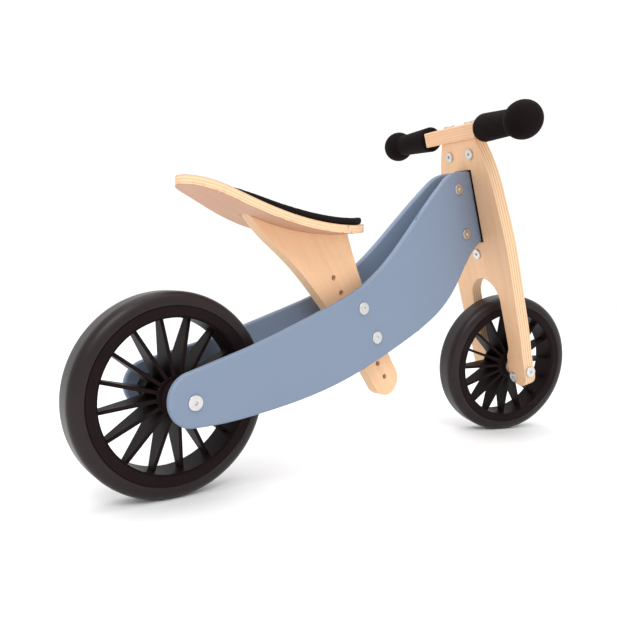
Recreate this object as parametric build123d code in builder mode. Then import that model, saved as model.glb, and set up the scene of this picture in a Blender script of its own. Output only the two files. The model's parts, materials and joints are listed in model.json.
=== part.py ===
"""Wooden balance bike with plywood side panels, a bolted seat post and spoked plastic wheels.

Millimetres. +X is forward, +Y is the rider's left, +Z is up. The origin is on the ground
under the rear axle, in the middle plane of the frame. The front fork stands turned a
little to the rider's right, as REST_STEER says.
"""
from build123d import *

import os
from math import cos, hypot, radians, sin, sqrt, tan

# Overall layout
WHEEL_RADIUS = 100.0
WHEELBASE = 528.0
HEAD_ANGLE = 19.0  # degrees that the steering axis leans back from the vertical
REST_STEER = -18.0  # degrees that the fork is turned at rest, negative to the right

# Clearances
RUNNING = 0.05  # radial, round a shaft that turns, and under a pressed bush
SLIP = 0.1  # beside a bolt, pin, tenon or spigot that stays still
AXIAL_PLAY = 0.2  # beside a turning hub or the head block
CLOTH_GAP = 0.3  # under the soft pad

# Wheels
TYRE_HALF_WIDTH = 18.8
TYRE_CROWN = 9.0
TYRE_SHOULDER = 12.0  # radial height of the rounded shoulder
TYRE_DEPTH = 14.4  # tread to rim
RIM_DEPTH = 11.0
RIM_HALF_WIDTH = 18.4
RIM_CHAMFER = 2.0
BEAD_DEPTH = 3.5
BEAD_HALF_WIDTH = 8.0
SPOKE_COUNT = 16
SPOKE_PHASE = -9.0  # degrees about the axle
SPOKE_THICKNESS = 3.6
SPOKE_RIM_HALF_WIDTH = 5.0
SPOKE_ROOT = 1.0  # how far a spoke stops inside the hub's end
HUB_TUBE_RADIUS = 13.0
HUB_FLANGE_RADIUS = 19.5
HUB_FLANGE_THICKNESS = 2.6
HUB_FLANGE_HALF = 18.0
HUB_HALF_LENGTH = 21.5
HUB_BORE_GAP = 1.0  # between the axle and the hub, behind the bushes
BUSH_RADIUS = 8.0
BUSH_LENGTH = 13.0
BUSH_FLANGE_RADIUS = 11.0
BUSH_FLANGE_THICKNESS = 1.0
AXLE_RADIUS = 5.0
WASHER_RADIUS = 11.5
REAR_WASHER_THICKNESS = 1.5
REAR_SPACER_RADIUS = 14.0
REAR_SPACER_FLARE = 17.5

# Bolts with flat round heads, and the nuts that match them
BOLT_RADIUS = 3.0
CAP_RADIUS = 7.25
CAP_HEIGHT = 2.5
CAP_ROUND = 0.7
SOCKET_RADIUS = 2.3
SOCKET_DEPTH = 1.6
SLEEVE_RADIUS = 4.2
THREAD_DEPTH = 16.0
SPACER_RADIUS = 8.0
SEAT_NUT_REACH = 8.5  # middle plane to the open end of a nut
HEAD_NUT_REACH = 6.5
LEG_NUT_LENGTH = 9.0

# Side panels
PANEL_THICKNESS = 8.0
PANEL_REAR_HALF = 56.0  # outer face to the middle plane, beside the rear axle
PANEL_TOE_IN = 6.05  # degrees that each panel closes towards the head
PANEL_BEND_RADIUS = 835.0  # the panels bend back to parallel over their front end
PANEL_END_RADIUS = 26.2
PANEL_END_RISE = 2.3
PANEL_CORNER = 3.0
PANEL_HEAD_GAP = 11.0  # steering axis to the panels' front edge
PANEL_HEAD_INSET = 1.8  # window's edge to the panels' front corners

# Head block
BLOCK_RADIUS = 18.0
BLOCK_GAP = 0.2  # between the barrel's flat back and the panels' front edges
TONGUE_LENGTH = 62.0
HEAD_BOLT_BACK = 43.5
HEAD_BOLT_INSET = 20.0

# Fork
FORK_THICKNESS = 16.0
FORK_TOP = 327.5
FORK_TOP_HALF = 39.5
FORK_SHOULDER_HALF = 54.5
FORK_WIDE_HALF = 68.0
FORK_FOOT_OUTER = 61.5
FORK_FOOT_INNER = 25.0
FORK_FOOT_DROP = 24.0
FORK_EDGE_ROUND = 1.2
LEG_INNER = 32.5
ARCH_TOP = 132.0
WINDOW_HALF = 19.3
WINDOW_LOW = 186.3
WINDOW_HIGH = 287.6
PIN_RADIUS = 4.0
PIN_HEAD_RADIUS = 6.0
PIN_HEAD_HEIGHT = 6.0
STEER_WASHER_RADIUS = 10.0
STEER_WASHER_THICKNESS = 1.5
CROSS_NUT_RADIUS = 5.0
CROSS_NUT_REACH = 13.0
PIN_NUT_DROP = 17.5  # under the window
BAR_NUT_DROP = 19.2  # under the fork's top
LEG_BOLT_SIDE = 35.0
LEG_BOLT_DROP = 12.0

# Handlebar
BAR_THICKNESS = 20.0
BAR_DEPTH = 28.0
BAR_STRAIGHT = 28.0
BAR_SHOULDER = 61.0
BAR_SHOULDER_BACK = 6.5
BAR_SHOULDER_DEPTH = 30.0
BAR_SWEEP = 6.4
BAR_ROUND = 1.5
BAR_BOLT_SIDE = 24.0
TENON_RADIUS = 8.0
TENON_LENGTH = 84.0
GRIP_RADIUS = 17.6
GRIP_MOUTH_ROUND = 6.0
GRIP_NECK_RADIUS = 15.0
GRIP_BALL_RADIUS = 22.0
GRIP_BALL_AT = 88.7

# Seat post, whose outline is measured down its line of holes and forward of it
POST_THICKNESS = 15.0
POST_LEAN = 35.2  # degrees from the vertical, top to the rear
POST_HOLES = 8
POST_PITCH = 20.9
POST_HOLE_RADIUS = 3.25
POST_FOOT_RADIUS = 20.0
POST_FOOT_BEYOND = 4.0  # last hole to the centre of the rounded foot
POST_TENON = 3.0  # how far the post's top sits into the seat board
CLAMP_HOLES = (2, 4)  # the holes in use, counted from 0 at the top

# Seat
SEAT_THICKNESS = 9.0
GROOVE_END = 4.0  # the seat's groove runs on past the post at each end
SEAT_TAIL = 4.0
SEAT_NOSE = 241.0
SEAT_HALF = 44.0
PAD_THICKNESS = 8.5
PAD_TAIL = 55.0
PAD_NOSE_INSET = 3.0
PAD_SIDE_INSET = 4.0
SCREW_RADIUS = 2.0
SCREW_HEAD_RADIUS = 4.2
SCREW_HEAD_HEIGHT = 2.6
SCREW_BITE = 16.0
SEAT_SCREWS = (4, 5, 6)  # points of the seat's profile that carry a screw

# Places worked out from the sizes above
AXLE_Z = WHEEL_RADIUS
RIM_RADIUS = WHEEL_RADIUS - TYRE_DEPTH
RIM_HOLE_RADIUS = RIM_RADIUS - RIM_DEPTH
HUB_END = HUB_HALF_LENGTH + BUSH_FLANGE_THICKNESS
TOE = radians(PANEL_TOE_IN)
LEAN = radians(HEAD_ANGLE)
STEER = radians(REST_STEER)
LEFT = Vector(0, 1, 0)
AXIS_UP = Vector(-sin(LEAN), 0, cos(LEAN))
AXIS_FORWARD = Vector(cos(LEAN), 0, sin(LEAN))
FORK_LEFT = LEFT * cos(STEER) - AXIS_FORWARD * sin(STEER)
FORK_FORWARD = AXIS_FORWARD * cos(STEER) + LEFT * sin(STEER)
FRONT_CENTRE = Vector(WHEELBASE, 0, AXLE_Z)
PANEL_HEAD_LOW = WINDOW_LOW + PANEL_HEAD_INSET
PANEL_HEAD_HIGH = WINDOW_HIGH - PANEL_HEAD_INSET
BLOCK_LOW = WINDOW_LOW + STEER_WASHER_THICKNESS + AXIAL_PLAY
BLOCK_HIGH = WINDOW_HIGH - STEER_WASHER_THICKNESS - AXIAL_PLAY
BAR_MIDDLE = FORK_TOP + BAR_THICKNESS / 2


def head_point(forward, up):
    """XZ place beside the steering axis, in the middle plane."""
    point = FRONT_CENTRE + AXIS_FORWARD * forward + AXIS_UP * up
    return point.X, point.Z


def fork_face(forward=0.0):
    """Plane across the turned fork: local x is its left, local y is up the steering axis."""
    return Plane(FRONT_CENTRE + FORK_FORWARD * forward, x_dir=FORK_LEFT, z_dir=FORK_FORWARD)


def fork_level(up=0.0):
    """Plane square to the steering axis: local x is the fork's forward, local y its left."""
    return Plane(FRONT_CENTRE + AXIS_UP * up, x_dir=FORK_FORWARD, z_dir=AXIS_UP)


def head_level(up=0.0):
    """Plane square to the steering axis that doesn't turn with the fork."""
    return Plane(FRONT_CENTRE + AXIS_UP * up, x_dir=AXIS_FORWARD, z_dir=AXIS_UP)


def outward(x, y, z):
    """Plane at a point beside the frame, facing away from the middle plane."""
    return Plane(Vector(x, y, z), x_dir=(1, 0, 0), z_dir=(0, 1 if y > 0 else -1, 0))


REAR_AXLE = Plane(Vector(0, 0, AXLE_Z), x_dir=(1, 0, 0), z_dir=(0, 1, 0))
FRONT_AXLE = Plane(FRONT_CENTRE, x_dir=FORK_FORWARD, z_dir=FORK_LEFT)
PANEL_FRONT_X = head_point(-PANEL_HEAD_GAP, PANEL_HEAD_LOW)[0]
BEND_START_X = PANEL_FRONT_X - PANEL_BEND_RADIUS * sin(TOE)
BEND_START_HALF = PANEL_REAR_HALF - BEND_START_X * tan(TOE)
BEND_CENTRE_Y = BEND_START_HALF + PANEL_BEND_RADIUS * cos(TOE)


def panel_half(x):
    """Distance from the middle plane to a panel's outer face."""
    if x < BEND_START_X:
        return PANEL_REAR_HALF - x * tan(TOE)
    return BEND_CENTRE_Y - sqrt(PANEL_BEND_RADIUS**2 - (min(x, PANEL_FRONT_X) - PANEL_FRONT_X) ** 2)


def head_seat(x):
    """Distance from the middle plane to the flat that a bolt head bears on."""
    return panel_half(x + CAP_RADIUS)


def inner_seat(x, radius):
    """Distance from the middle plane to the flat that a spacer or axle bears on."""
    return panel_half(x - radius) - PANEL_THICKNESS / cos(TOE)


def along_panel(share, rise):
    """XZ point at a share of the way from the rear axle to the head, raised by rise."""
    head_x, head_z = head_point(-PANEL_HEAD_GAP, (PANEL_HEAD_LOW + PANEL_HEAD_HIGH) / 2)
    return head_x * share, AXLE_Z + (head_z - AXLE_Z) * share + rise


TOP_HOLE_X, TOP_HOLE_Z = along_panel(0.4446, 18.6)
POST_DOWN = Vector(sin(radians(POST_LEAN)), -cos(radians(POST_LEAN)))
POST_FORWARD = Vector(cos(radians(POST_LEAN)), sin(radians(POST_LEAN)))


def post_point(down, forward):
    """XZ place on the seat post, down its line of holes and forward of it."""
    step = POST_DOWN * down + POST_FORWARD * forward
    return TOP_HOLE_X + step.X, TOP_HOLE_Z + step.Y


CLAMPS = [post_point(POST_PITCH * index, 0) for index in CLAMP_HOLES]
HEAD_BOLTS = [
    head_point(-HEAD_BOLT_BACK, WINDOW_LOW + HEAD_BOLT_INSET),
    head_point(-HEAD_BOLT_BACK, WINDOW_HIGH - HEAD_BOLT_INSET),
]
SEAT_SHIFT_X = TOP_HOLE_X - 196.0
SEAT_SHIFT_Z = TOP_HOLE_Z - 216.5
SEAT_PROFILE = [
    (x + SEAT_SHIFT_X, z + SEAT_SHIFT_Z)
    for x, z in (
        (-6, 301), (25, 298), (60, 285.7), (95, 274.6), (125, 268.4), (160, 265.2), (195, 265.8), (248, 274)
    )
]


def profile_normal(index):
    """Unit XZ vector square to the seat's profile at one of its points, pointing up."""
    before = SEAT_PROFILE[max(index - 1, 0)]
    after = SEAT_PROFILE[min(index + 1, len(SEAT_PROFILE) - 1)]
    run = after[0] - before[0]
    climb = after[1] - before[1]
    length = hypot(run, climb)
    return -climb / length, run / length


def raised_profile(rise):
    """The underside of the seat board, moved square to itself by rise."""
    moved = []
    for index, (x, z) in enumerate(SEAT_PROFILE):
        across, up = profile_normal(index)
        moved.append((x + rise * across, z + rise * up))
    return moved


def save(part, name):
    """Labels a finished sub-part and writes its STEP file."""
    part.label = name
    export_step(part, f"parts/{name}.step")


# Wheels


def wheel_profile(axle):
    """Plane through an axle: local x is the radius, local y runs along the axle."""
    return Plane(axle.origin, x_dir=axle.x_dir, z_dir=-axle.y_dir)


def tyre(name, axle):
    """Solid rubber tyre with rounded shoulders and a bead that sits in the rim."""
    inner = RIM_RADIUS + SLIP
    bead = RIM_RADIUS - BEAD_DEPTH
    shoulder = WHEEL_RADIUS - TYRE_SHOULDER
    bulge_radius = shoulder + 0.75 * TYRE_SHOULDER
    bulge_half = TYRE_CROWN + 0.62 * (TYRE_HALF_WIDTH - TYRE_CROWN)
    with BuildPart() as part:
        with BuildSketch(wheel_profile(axle)):
            with BuildLine():
                Polyline(
                    (shoulder, TYRE_HALF_WIDTH),
                    (inner, TYRE_HALF_WIDTH),
                    (inner, BEAD_HALF_WIDTH),
                    (bead, BEAD_HALF_WIDTH),
                    (bead, -BEAD_HALF_WIDTH),
                    (inner, -BEAD_HALF_WIDTH),
                    (inner, -TYRE_HALF_WIDTH),
                    (shoulder, -TYRE_HALF_WIDTH),
                )
                for side in (1, -1):
                    ThreePointArc(
                        (shoulder, side * TYRE_HALF_WIDTH),
                        (bulge_radius, side * bulge_half),
                        (WHEEL_RADIUS, side * TYRE_CROWN),
                    )
                Line((WHEEL_RADIUS, TYRE_CROWN), (WHEEL_RADIUS, -TYRE_CROWN))
            make_face()
        revolve(axis=Axis(axle.origin, axle.z_dir))
    save(part.part, name)


def rim(name, axle):
    """Plastic ring of the wheel, with a channel for the tyre's bead."""
    floor = RIM_RADIUS - BEAD_DEPTH - SLIP
    shelf = BEAD_HALF_WIDTH + SLIP
    with BuildPart() as part:
        with BuildSketch(wheel_profile(axle)):
            with BuildLine():
                Polyline(
                    (RIM_HOLE_RADIUS, RIM_HALF_WIDTH - RIM_CHAMFER),
                    (RIM_HOLE_RADIUS + RIM_CHAMFER, RIM_HALF_WIDTH),
                    (RIM_RADIUS, RIM_HALF_WIDTH),
                    (RIM_RADIUS, shelf),
                    (floor, shelf),
                    (floor, -shelf),
                    (RIM_RADIUS, -shelf),
                    (RIM_RADIUS, -RIM_HALF_WIDTH),
                    (RIM_HOLE_RADIUS + RIM_CHAMFER, -RIM_HALF_WIDTH),
                    (RIM_HOLE_RADIUS, RIM_CHAMFER - RIM_HALF_WIDTH),
                    close=True,
                )
            make_face()
        revolve(axis=Axis(axle.origin, axle.z_dir))
    save(part.part, name)


def hub(name, axle):
    """Plastic hub with a flange at each end and a seat for each bush."""
    bush_hole = BUSH_RADIUS + RUNNING
    bush_floor = HUB_HALF_LENGTH - BUSH_LENGTH
    bore = AXLE_RADIUS + HUB_BORE_GAP
    with BuildPart() as part:
        with BuildSketch(wheel_profile(axle)):
            for side in (1, -1):
                with BuildLine():
                    Polyline(
                        (bore, 0),
                        (HUB_TUBE_RADIUS, 0),
                        (HUB_TUBE_RADIUS, side * (HUB_FLANGE_HALF - HUB_FLANGE_THICKNESS)),
                        (HUB_FLANGE_RADIUS, side * (HUB_FLANGE_HALF - HUB_FLANGE_THICKNESS)),
                        (HUB_FLANGE_RADIUS, side * HUB_FLANGE_HALF),
                        (HUB_TUBE_RADIUS, side * HUB_FLANGE_HALF),
                        (HUB_TUBE_RADIUS, side * HUB_HALF_LENGTH),
                        (bush_hole, side * HUB_HALF_LENGTH),
                        (bush_hole, side * bush_floor),
                        (bore, side * bush_floor),
                        close=True,
                    )
                make_face()
        revolve(axis=Axis(axle.origin, axle.z_dir))
    save(part.part, name)


def spokes(name, axle):
    """Thin fins from hub to rim, wider at the hub, which meet both face to face."""
    flange_floor = HUB_FLANGE_HALF - HUB_FLANGE_THICKNESS
    root_half = HUB_FLANGE_HALF - SPOKE_ROOT
    rim_end = sqrt(RIM_HOLE_RADIUS**2 - (SPOKE_THICKNESS / 2) ** 2)
    fins = []
    for index in range(SPOKE_COUNT):
        turn = SPOKE_PHASE + 360 / SPOKE_COUNT * index
        radial = Vector(axle.x_dir).rotate(Axis((0, 0, 0), axle.z_dir), turn)
        fins.append(Plane(axle.origin, x_dir=radial, z_dir=radial.cross(axle.z_dir)))
    with BuildPart() as part:
        with BuildSketch(*fins):
            with BuildLine():
                Polyline(
                    (HUB_TUBE_RADIUS, flange_floor),
                    (HUB_FLANGE_RADIUS, flange_floor),
                    (HUB_FLANGE_RADIUS, root_half),
                    (rim_end, SPOKE_RIM_HALF_WIDTH),
                    (rim_end, -SPOKE_RIM_HALF_WIDTH),
                    (HUB_FLANGE_RADIUS, -root_half),
                    (HUB_FLANGE_RADIUS, -flange_floor),
                    (HUB_TUBE_RADIUS, -flange_floor),
                    close=True,
                )
            make_face()
        extrude(amount=SPOKE_THICKNESS / 2, both=True)
    save(part.part, name)


def bushes(name, axle):
    """Two flanged bushes, pressed into the ends of the hub."""
    bore = AXLE_RADIUS + RUNNING
    with BuildPart() as part:
        with BuildSketch(wheel_profile(axle)):
            for side in (1, -1):
                with BuildLine():
                    Polyline(
                        (bore, side * (HUB_HALF_LENGTH - BUSH_LENGTH)),
                        (BUSH_RADIUS, side * (HUB_HALF_LENGTH - BUSH_LENGTH)),
                        (BUSH_RADIUS, side * HUB_HALF_LENGTH),
                        (BUSH_FLANGE_RADIUS, side * HUB_HALF_LENGTH),
                        (BUSH_FLANGE_RADIUS, side * HUB_END),
                        (bore, side * HUB_END),
                        close=True,
                    )
                make_face()
        revolve(axis=Axis(axle.origin, axle.z_dir))
    save(part.part, name)


def wheel(prefix, axle):
    """Makes one wheel from its axle plane, whose normal is the axle."""
    tyre(f"{prefix}_tyre", axle)
    rim(f"{prefix}_rim", axle)
    spokes(f"{prefix}_spokes", axle)
    hub(f"{prefix}_hub", axle)
    bushes(f"{prefix}_bushes", axle)


def axle_sleeve(name, axle, half):
    """Turned steel axle, threaded at both ends."""
    with BuildPart() as part:
        with BuildSketch(axle.offset(-half)):
            Circle(AXLE_RADIUS)
        extrude(amount=2 * half)
        for side in (1, -1):
            with BuildSketch(axle.offset(side * half)):
                Circle(BOLT_RADIUS + RUNNING)
            extrude(amount=-side * THREAD_DEPTH, mode=Mode.SUBTRACT)
    save(part.part, name)


def rings(name, axle, start, thickness, outer, hole):
    """A pair of flat rings on an axle, one on each side, both from start outward."""
    with BuildPart() as part:
        for side in (1, -1):
            with BuildSketch(axle.offset(side * start)):
                Circle(outer)
                Circle(hole, mode=Mode.SUBTRACT)
            extrude(amount=side * thickness)
    save(part.part, name)


def rear_spacers():
    """Flared spacers between the rear hub and the washers on the side panels."""
    start = HUB_END + AXIAL_PLAY
    end = inner_seat(0, REAR_SPACER_RADIUS) - REAR_WASHER_THICKNESS
    with BuildPart() as part:
        with BuildSketch(wheel_profile(REAR_AXLE)):
            for side in (1, -1):
                with BuildLine():
                    Polyline(
                        (REAR_SPACER_FLARE, side * start),
                        (AXLE_RADIUS + SLIP, side * start),
                        (AXLE_RADIUS + SLIP, side * end),
                        (REAR_SPACER_RADIUS, side * end),
                    )
                    Spline(
                        (REAR_SPACER_RADIUS, side * end),
                        (REAR_SPACER_FLARE, side * start),
                        tangents=[(0, -side), (0.6, -side * 0.8)],
                    )
                make_face()
        revolve(axis=Axis(REAR_AXLE.origin, REAR_AXLE.z_dir))
    save(part.part, "rear_spacers")


# Fasteners


def cap_head(base, shank_radius, shank_length):
    """Flat round head with a hex socket, on a plane that faces out of the work, and its shank."""
    with BuildSketch(base) as disc:
        Circle(CAP_RADIUS)
    extrude(disc.sketch, amount=CAP_HEIGHT)
    top = base.offset(CAP_HEIGHT)
    rim_edge = edges().filter_by(GeomType.CIRCLE)
    fillet(rim_edge.filter_by(lambda edge: (edge.arc_center - top.origin).length < 0.01), CAP_ROUND)
    with BuildSketch(base) as shank:
        Circle(shank_radius)
    extrude(shank.sketch, amount=-shank_length)
    with BuildSketch(top) as socket:
        RegularPolygon(SOCKET_RADIUS, 6)
    extrude(socket.sketch, amount=-SOCKET_DEPTH, mode=Mode.SUBTRACT)


def through_bolts(name, places, reach):
    """Bolts that cross both side panels from the right and end inside their cap nuts."""
    with BuildPart() as part:
        for x, z in places:
            half = head_seat(x)
            cap_head(outward(x, -half, z), BOLT_RADIUS, half + reach + 0.7 * (half - reach))
    save(part.part, name)


def cap_nuts(name, places, reach):
    """Sleeve nuts for the through bolts, from the left side panel in to reach."""
    with BuildPart() as part:
        for x, z in places:
            half = head_seat(x)
            cap_head(outward(x, half, z), SLEEVE_RADIUS, half - reach)
            with BuildSketch(outward(x, reach, z)):
                Circle(BOLT_RADIUS + RUNNING)
            extrude(amount=half - reach, mode=Mode.SUBTRACT)
    save(part.part, name)


def axle_bolts(name, axle, seat, inner):
    """Bolts from both sides into the threaded ends of an axle."""
    with BuildPart() as part:
        for side in (1, -1):
            base = Plane(axle.origin + axle.z_dir * (side * seat), x_dir=axle.x_dir, z_dir=axle.z_dir * side)
            cap_head(base, BOLT_RADIUS, seat - inner + 0.9 * THREAD_DEPTH)
    save(part.part, name)


# Frame


def side_panel(name, side, bolt_hole):
    """One plywood side panel, flat with a gentle bend near the head, and its holes."""
    turn = radians(100)
    end_x = PANEL_END_RADIUS * cos(turn)
    end_z = AXLE_Z + PANEL_END_RISE
    tail_top = (end_x, end_z + PANEL_END_RADIUS * sin(turn))
    tail_low = (0, end_z - PANEL_END_RADIUS)
    front_top = head_point(-PANEL_HEAD_GAP, PANEL_HEAD_HIGH)
    front_low = head_point(-PANEL_HEAD_GAP, PANEL_HEAD_LOW)
    inner_shift = Vector(sin(TOE), cos(TOE)) * -PANEL_THICKNESS
    with BuildPart() as part:
        with BuildSketch(Plane.XZ) as outline:
            with BuildLine():
                ThreePointArc(tail_top, (-PANEL_END_RADIUS, end_z), tail_low)
                Spline(
                    tail_top,
                    along_panel(0.084, 21.5),
                    along_panel(0.163, 14.5),
                    along_panel(0.340, 3.4),
                    along_panel(0.499, -1.4),
                    along_panel(0.594, 8.1),
                    along_panel(0.714, 34.6),
                    along_panel(0.8256, 59.6),
                    along_panel(0.8687, 65.2),
                    head_point(-PANEL_HEAD_GAP - 18, PANEL_HEAD_HIGH + 3.4),
                    front_top,
                )
                Line(front_top, front_low)
                Spline(
                    front_low,
                    head_point(-PANEL_HEAD_GAP - 18, PANEL_HEAD_LOW - 6.4),
                    head_point(-PANEL_HEAD_GAP - 36, PANEL_HEAD_LOW - 17),
                    along_panel(0.9186, -89.8),
                    along_panel(0.8664, -103.2),
                    along_panel(0.7417, -109.4),
                    along_panel(0.601, -104.9),
                    along_panel(0.4309, -93.7),
                    along_panel(0.170, -57.5),
                    along_panel(0.086, -42.4),
                    tail_low,
                )
            make_face()
            fillet(outline.vertices().sort_by(Axis.X)[-2:], PANEL_CORNER)
        extrude(amount=-side * (PANEL_REAR_HALF + PANEL_THICKNESS))
        with BuildSketch(Plane.XY):
            with BuildLine():
                faces = []
                for shift, radius in (
                    (Vector(0, 0), PANEL_BEND_RADIUS),
                    (inner_shift, PANEL_BEND_RADIUS + PANEL_THICKNESS),
                ):
                    rear_x = -2 * PANEL_END_RADIUS
                    rear = Vector(rear_x, panel_half(rear_x)) + shift
                    bend = Vector(BEND_START_X, BEND_START_HALF) + shift
                    middle = (PANEL_FRONT_X - radius * sin(TOE / 2), BEND_CENTRE_Y - radius * cos(TOE / 2))
                    front = (PANEL_FRONT_X, BEND_CENTRE_Y - radius)
                    tip = (PANEL_FRONT_X + PANEL_THICKNESS, BEND_CENTRE_Y - radius)
                    faces.append((rear, bend, middle, front, tip))
                for rear, bend, middle, front, tip in faces:
                    Line((rear.X, side * rear.Y), (bend.X, side * bend.Y))
                    ThreePointArc(
                        (bend.X, side * bend.Y), (middle[0], side * middle[1]), (front[0], side * front[1])
                    )
                    Line((front[0], side * front[1]), (tip[0], side * tip[1]))
                for end in (0, 4):
                    outer, inner = Vector(faces[0][end]), Vector(faces[1][end])
                    Line((outer.X, side * outer.Y), (inner.X, side * inner.Y))
            make_face()
        extrude(amount=2 * FORK_TOP, mode=Mode.INTERSECT)
        seats = [(0, AXLE_Z, REAR_SPACER_RADIUS, BOLT_RADIUS + SLIP)]
        seats += [(x, z, SPACER_RADIUS, bolt_hole) for x, z in CLAMPS]
        seats += [(x, z, 0, bolt_hole) for x, z in HEAD_BOLTS]
        for x, z, spacer_radius, hole in seats:
            with BuildSketch(outward(x, side * head_seat(x), z)):
                Circle(CAP_RADIUS + SLIP)
            extrude(amount=PANEL_THICKNESS, mode=Mode.SUBTRACT)
            if spacer_radius:
                with BuildSketch(outward(x, side * inner_seat(x, spacer_radius), z)):
                    Circle(spacer_radius + SLIP)
                extrude(amount=-PANEL_THICKNESS, mode=Mode.SUBTRACT)
            with BuildSketch(outward(x, side * panel_half(x), z)):
                Circle(hole)
            extrude(amount=-2 * PANEL_THICKNESS, mode=Mode.SUBTRACT)
    save(part.part, name)


def head_block():
    """Black block between the panels' front ends, with the steering barrel at its front."""
    with BuildPart() as part:
        with BuildSketch(Plane.XZ):
            with BuildLine():
                Polyline(
                    head_point(-TONGUE_LENGTH, BLOCK_LOW + 9),
                    head_point(-PANEL_HEAD_GAP - 26, BLOCK_LOW),
                    head_point(0, BLOCK_LOW),
                    head_point(0, BLOCK_HIGH),
                    head_point(-PANEL_HEAD_GAP - 26, BLOCK_HIGH),
                    head_point(-TONGUE_LENGTH, BLOCK_HIGH - 9),
                    close=True,
                )
            make_face()
        extrude(amount=2 * PANEL_THICKNESS, both=True)
        with BuildSketch(Plane.XY):
            with BuildLine():
                radius = PANEL_BEND_RADIUS + PANEL_THICKNESS + SLIP
                start = PANEL_FRONT_X - radius * sin(TOE)
                middle = PANEL_FRONT_X - radius * sin(TOE / 2)
                start_half = BEND_CENTRE_Y - radius * cos(TOE)
                middle_half = BEND_CENTRE_Y - radius * cos(TOE / 2)
                front_half = BEND_CENTRE_Y - radius
                for side in (1, -1):
                    ThreePointArc(
                        (start, side * start_half),
                        (middle, side * middle_half),
                        (PANEL_FRONT_X, side * front_half),
                    )
                    Line((PANEL_FRONT_X, side * front_half), (WHEELBASE, side * front_half))
                Line((start, start_half), (start, -start_half))
                Line((WHEELBASE, front_half), (WHEELBASE, -front_half))
            make_face()
        extrude(amount=2 * FORK_TOP, mode=Mode.INTERSECT)
        with BuildSketch(head_level(BLOCK_LOW)):
            Circle(BLOCK_RADIUS)
            back = PANEL_HEAD_GAP - BLOCK_GAP
            with Locations((-back - BLOCK_RADIUS, 0)):
                Rectangle(2 * BLOCK_RADIUS, 3 * BLOCK_RADIUS, mode=Mode.SUBTRACT)
        extrude(amount=BLOCK_HIGH - BLOCK_LOW)
        with BuildSketch(head_level(BLOCK_LOW)):
            Circle(PIN_RADIUS + RUNNING)
        extrude(amount=BLOCK_HIGH - BLOCK_LOW, mode=Mode.SUBTRACT)
        for x, z in HEAD_BOLTS:
            with BuildSketch(outward(x, -BLOCK_RADIUS, z)):
                Circle(BOLT_RADIUS + SLIP)
            extrude(amount=-2 * BLOCK_RADIUS, mode=Mode.SUBTRACT)
    save(part.part, "head_block")


def seat_post():
    """Plywood seat post with its line of adjusting holes and a top that fits the seat."""
    foot = POST_PITCH * (POST_HOLES - 1) + POST_FOOT_BEYOND
    with BuildPart() as part:
        with BuildSketch(Plane.XZ):
            with BuildLine():
                Spline(
                    post_point(-122, -57.5),
                    post_point(-95.7, -54.2),
                    post_point(-65.2, -45),
                    post_point(-35.8, -36.6),
                    post_point(24.3, -27),
                    post_point(foot, -POST_FOOT_RADIUS),
                    tangents=[(POST_DOWN * 0.9 + POST_FORWARD * 0.1), POST_DOWN],
                )
                ThreePointArc(
                    post_point(foot, -POST_FOOT_RADIUS),
                    post_point(foot + POST_FOOT_RADIUS, 0),
                    post_point(foot, POST_FOOT_RADIUS),
                )
                Spline(
                    post_point(foot, POST_FOOT_RADIUS),
                    post_point(31.9, 31.6),
                    post_point(5.5, 36.3),
                    post_point(-45, 48.5),
                    tangents=[POST_DOWN * -1, (POST_DOWN * -0.97 + POST_FORWARD * 0.24)],
                )
                Line(post_point(-45, 48.5), post_point(-122, -57.5))
            make_face()
        extrude(amount=POST_THICKNESS / 2, both=True)
        with BuildSketch(Plane.XZ):
            with BuildLine():
                line = Spline(*raised_profile(POST_TENON - SLIP))
                low, high = line @ 0, line @ 1
                Polyline(low, (low.X, low.Y + 80), (high.X, high.Y + 120), high)
            make_face()
        extrude(amount=POST_THICKNESS, both=True, mode=Mode.SUBTRACT)
        with BuildSketch(Plane.XZ):
            for index in range(POST_HOLES):
                with Locations(post_point(POST_PITCH * index, 0)):
                    Circle(POST_HOLE_RADIUS)
        extrude(amount=POST_THICKNESS, both=True, mode=Mode.SUBTRACT)
        for index in SEAT_SCREWS:
            with BuildSketch(screw_plane(index, POST_TENON)):
                Circle(SCREW_RADIUS + RUNNING)
            extrude(amount=-POST_TENON - SCREW_BITE, mode=Mode.SUBTRACT)
    save(part.part, "seat_post")


def screw_plane(index, rise):
    """Plane square to a seat screw, raised above the underside of the seat board."""
    x, z = SEAT_PROFILE[index]
    across, up = profile_normal(index)
    origin = Vector(x + rise * across, 0, z + rise * up)
    return Plane(origin, x_dir=(0, 1, 0), z_dir=(across, 0, up))


def seat_layer(low, high, plan_points):
    """Fills the seat's curved profile between two heights, inside a plan of its left half."""
    with BuildSketch(Plane.XZ) as section:
        with BuildLine():
            under = Spline(*raised_profile(low))
            over = Spline(*raised_profile(high))
            Line(under @ 0, over @ 0)
            Line(under @ 1, over @ 1)
        make_face()
    extrude(section.sketch, amount=2 * SEAT_HALF, both=True)
    with BuildSketch(Plane.XY) as plan:
        with BuildLine():
            left = [(x + SEAT_SHIFT_X, y) for x, y in plan_points]
            right = [(x, -y) for x, y in left[-2:0:-1]]
            Spline(*left, *right, periodic=True)
        make_face()
    extrude(plan.sketch, amount=2 * FORK_TOP, mode=Mode.INTERSECT)


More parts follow.
